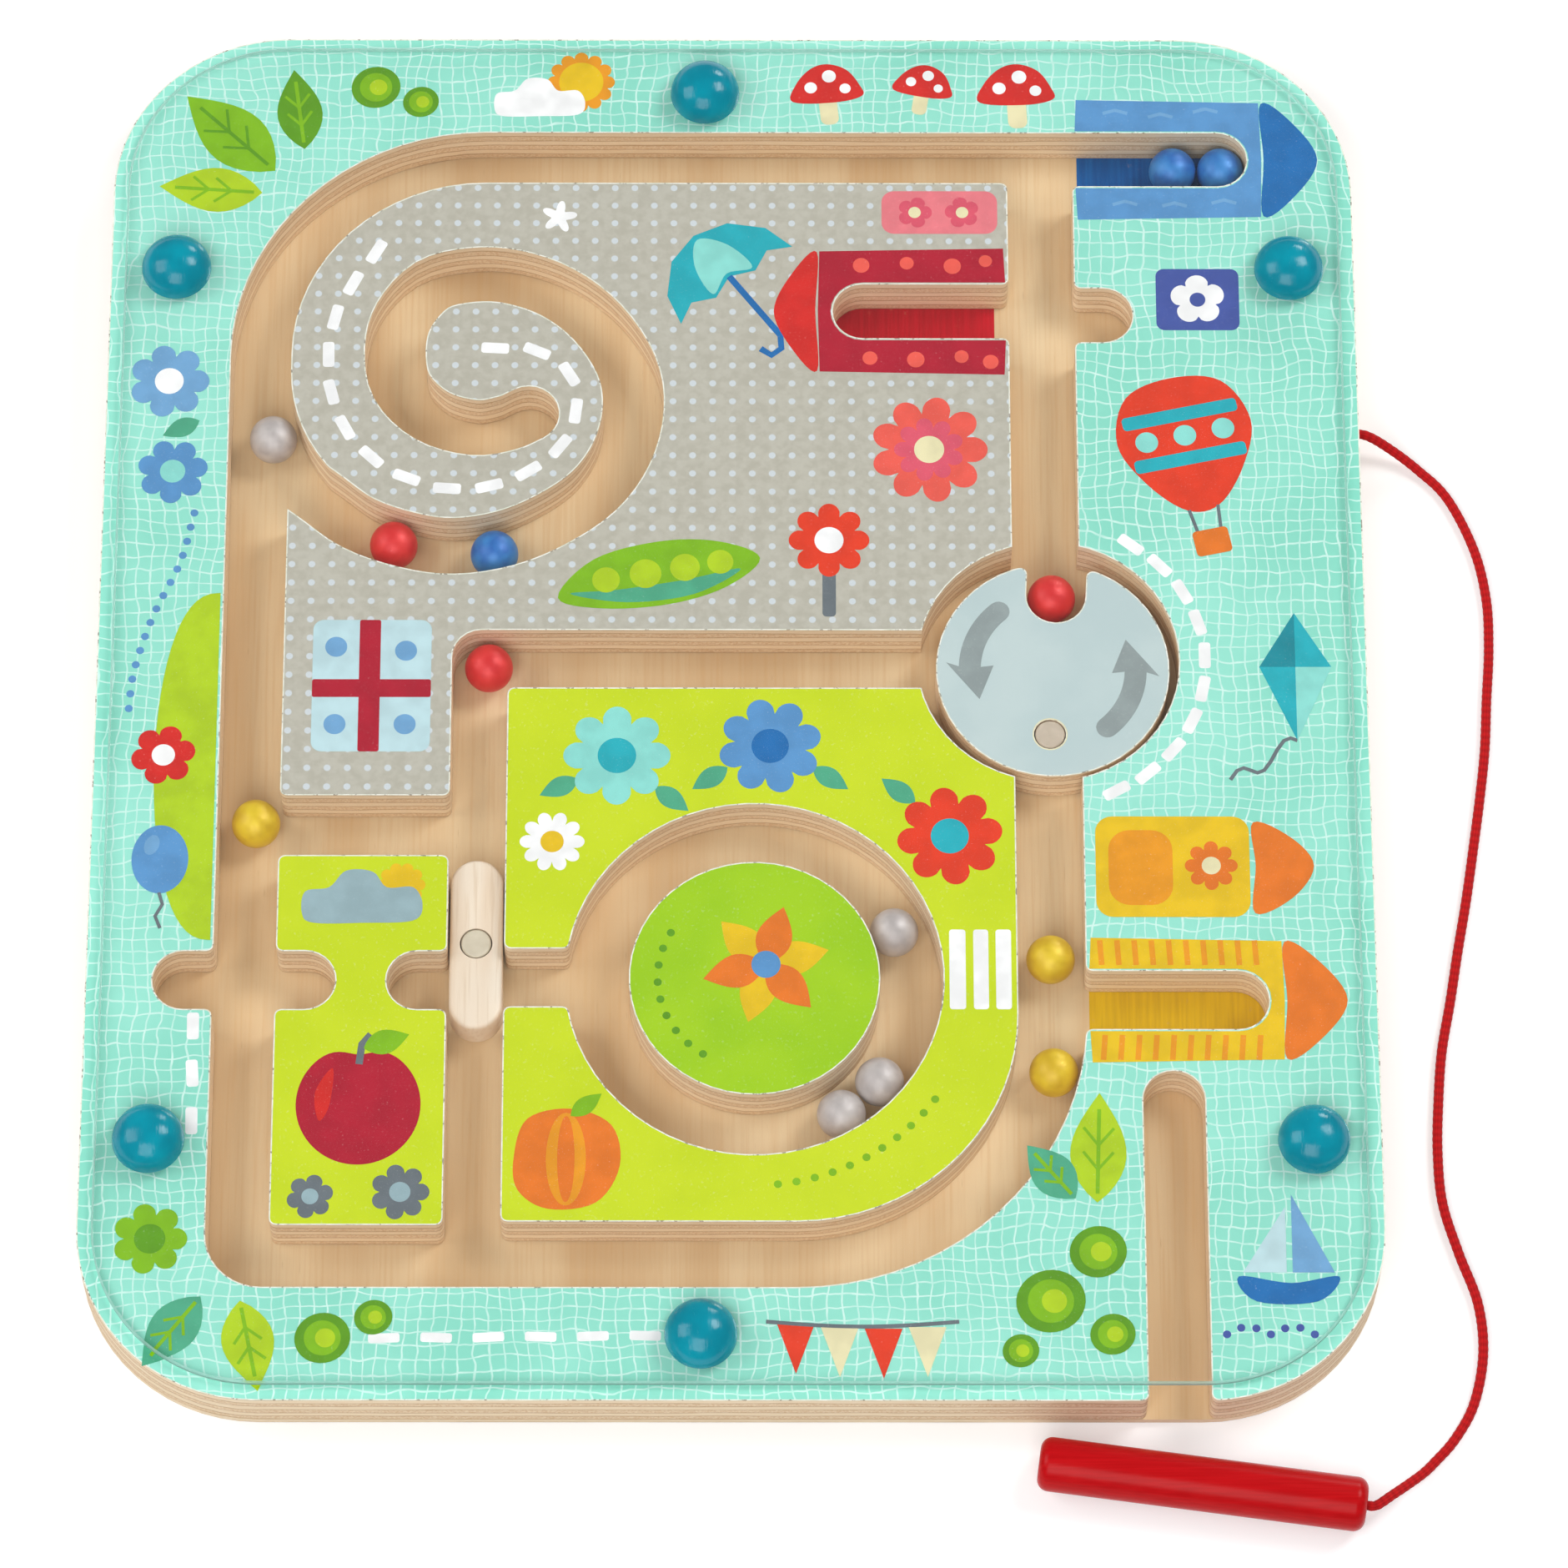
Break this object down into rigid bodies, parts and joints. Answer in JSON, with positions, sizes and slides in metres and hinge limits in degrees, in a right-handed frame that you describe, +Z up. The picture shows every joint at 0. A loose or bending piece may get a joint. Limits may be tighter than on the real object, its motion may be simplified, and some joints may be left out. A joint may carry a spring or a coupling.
{
  "type": "magnetic maze board",
  "caption": "Flat wooden maze under a clear sheet, with lanes, garages, a turntable, a lock slider, steel balls and a magnet wand on a cord.",
  "frame": {"origin": "middle of the board's underside, where it lies on a table", "axes": "+Z up through the cover, -Y the front edge with the wand's slot, +X the side that the cord leaves"},
  "size_m": [0.3317, 0.3794, 0.0244],
  "materials": {
    "base_ply": "bare plywood, grain front to back",
    "mint_print": "plywood with a printed mint top",
    "grey_print": "plywood with a printed grey top",
    "green_print": "plywood with a printed green top",
    "turntable_paint": "plywood with a pale blue-grey top",
    "birch": "sanded pale wood",
    "clear_acrylic": "clear polished acrylic sheet",
    "turquoise_plastic": "gloss turquoise",
    "red_lacquer": "gloss red lacquer",
    "red_braid": "braided polyester",
    "bright_steel": "turned steel",
    "silver_ball": "pearl silver on steel",
    "red_ball": "pearl red on steel",
    "blue_ball": "pearl blue on steel",
    "yellow_ball": "pearl yellow on steel"
  },
  "bodies": {
    "board": {"base_plate": "base_ply", "maze_frame": "mint_print", "spiral_island": "grey_print", "ring_island": "green_print", "notch_island": "green_print", "hub_island": "green_print", "cover_sheet": "clear_acrylic", "stud_1": "turquoise_plastic", "stud_2": "turquoise_plastic", "stud_3": "turquoise_plastic", "stud_4": "turquoise_plastic", "stud_5": "turquoise_plastic", "stud_6": "turquoise_plastic", "turntable_pin": "bright_steel", "cord": "red_braid"},
    "turntable": {"turntable": "turntable_paint", "turntable_plug": "bright_steel"},
    "lock_slider": {"lock_slider": "birch", "slider_plug": "bright_steel"},
    "wand": {"wand": "red_lacquer", "wand_tip": "red_lacquer", "wand_magnet": "bright_steel"},
    "silver_ball_1": {"silver_ball_1": "silver_ball"},
    "silver_ball_2": {"silver_ball_2": "silver_ball"},
    "silver_ball_3": {"silver_ball_3": "silver_ball"},
    "silver_ball_4": {"silver_ball_4": "silver_ball"},
    "red_ball_1": {"red_ball_1": "red_ball"},
    "red_ball_2": {"red_ball_2": "red_ball"},
    "red_ball_3": {"red_ball_3": "red_ball"},
    "blue_ball_1": {"blue_ball_1": "blue_ball"},
    "blue_ball_2": {"blue_ball_2": "blue_ball"},
    "blue_ball_3": {"blue_ball_3": "blue_ball"},
    "yellow_ball_1": {"yellow_ball_1": "yellow_ball"},
    "yellow_ball_2": {"yellow_ball_2": "yellow_ball"},
    "yellow_ball_3": {"yellow_ball_3": "yellow_ball"}
  },
  "joints": [
    {"name": "turntable_turn", "type": "hinge", "parent": "board", "child": "turntable", "pos_m": [0.07575, 0.00685, 0], "axis": [0, 0, 1], "continuous": true},
    {"name": "lock_slide", "type": "slide", "parent": "board", "child": "lock_slider", "axis": [0, 1, 0], "range_m": [-0.045, 0.04]},
    {"name": "silver_ball_1_roll", "type": "hinge", "parent": "board", "child": "silver_ball_1", "pos_m": [-0.0598, 0.08895, 0], "axis": [0, 0, 1], "range_deg": [-100, 0]},
    {"name": "silver_ball_2_roll", "type": "hinge", "parent": "board", "child": "silver_ball_2", "pos_m": [0.00535, -0.0723, 0], "axis": [0, 0, 1], "range_deg": [0, 130]},
    {"name": "silver_ball_3_roll", "type": "hinge", "parent": "board", "child": "silver_ball_3", "pos_m": [0.00535, -0.0723, 0], "axis": [0, 0, 1], "range_deg": [0, 40]},
    {"name": "silver_ball_4_roll", "type": "hinge", "parent": "board", "child": "silver_ball_4", "pos_m": [0.00535, -0.0723, 0], "axis": [0, 0, 1], "range_deg": [-95, 0]},
    {"name": "red_ball_1_roll", "type": "hinge", "parent": "board", "child": "red_ball_1", "pos_m": [-0.067, 0.08175, 0], "axis": [0, 0, 1], "range_deg": [-15, 8]},
    {"name": "red_ball_2_roll", "type": "slide", "parent": "board", "child": "red_ball_2", "axis": [1, 0, 0], "range_m": [0, 0.095]},
    {"name": "red_ball_3_roll", "type": "slide", "parent": "turntable", "child": "red_ball_3", "axis": [0.0523, 0.9986, 0], "range_m": [-0.001, 0.0015]},
    {"name": "blue_ball_1_roll", "type": "hinge", "parent": "board", "child": "blue_ball_1", "pos_m": [-0.067, 0.08175, 0], "axis": [0, 0, 1], "range_deg": [-5, 28]},
    {"name": "blue_ball_2_roll", "type": "slide", "parent": "board", "child": "blue_ball_2", "axis": [-1, 0, 0], "range_m": [0, 0.06]},
    {"name": "blue_ball_3_roll", "type": "slide", "parent": "board", "child": "blue_ball_3", "axis": [-1, 0, 0], "range_m": [0, 0.06]},
    {"name": "yellow_ball_1_roll", "type": "slide", "parent": "board", "child": "yellow_ball_1", "axis": [-0.0626, -0.998, 0], "range_m": [0, 0.045]},
    {"name": "yellow_ball_2_roll", "type": "slide", "parent": "board", "child": "yellow_ball_2", "axis": [0, 1, 0], "range_m": [0, 0.032]},
    {"name": "yellow_ball_3_roll", "type": "hinge", "parent": "board", "child": "yellow_ball_3", "pos_m": [0.015, -0.0813, 0], "axis": [0, 0, 1], "range_deg": [-75, 0]},
    {"name": "wand_roll", "type": "hinge", "parent": "board", "child": "wand", "pos_m": [0.10722, -0.19267, 0.0063], "axis": [0.9907, -0.1357, 0], "range_deg": [-180, 180]}
  ],
  "couplings": [
    {"joint": "blue_ball_3_roll", "follows": "blue_ball_2_roll", "ratio": 1}
  ]
}
